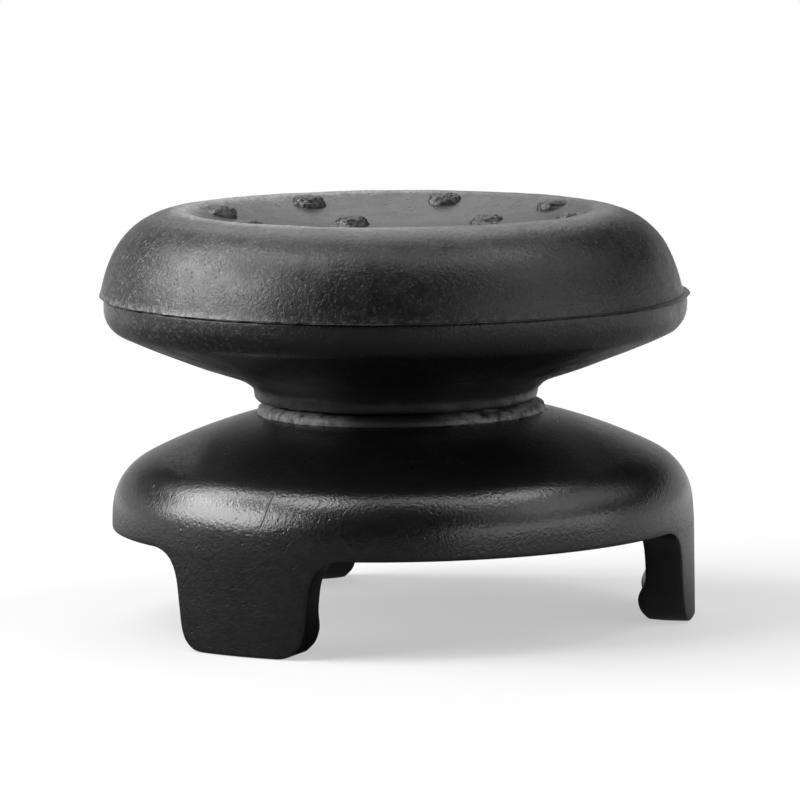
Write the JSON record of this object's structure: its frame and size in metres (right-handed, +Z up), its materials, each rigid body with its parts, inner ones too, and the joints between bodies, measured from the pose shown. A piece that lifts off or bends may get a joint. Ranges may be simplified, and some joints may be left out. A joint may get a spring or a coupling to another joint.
{
  "type": "controller thumb grip",
  "caption": "Thumb grip for a game controller stick: a dished rubber cap with raised dots on a domed hard base whose legs snap over the stick's round top.",
  "frame": {"origin": "on the part's axis, in the plane of the three feet", "axes": "+Z up along the part's axis, from the feet to the dished cap; +X towards one leg"},
  "size_m": [0.024, 0.024, 0.0169],
  "materials": {
    "rubber": "matte moulded rubber with fine dust",
    "base_plastic": "fine-grained satin plastic"
  },
  "bodies": {
    "root": {"rubber_cap": "rubber", "clip_base": "base_plastic"}
  },
  "joints": []
}
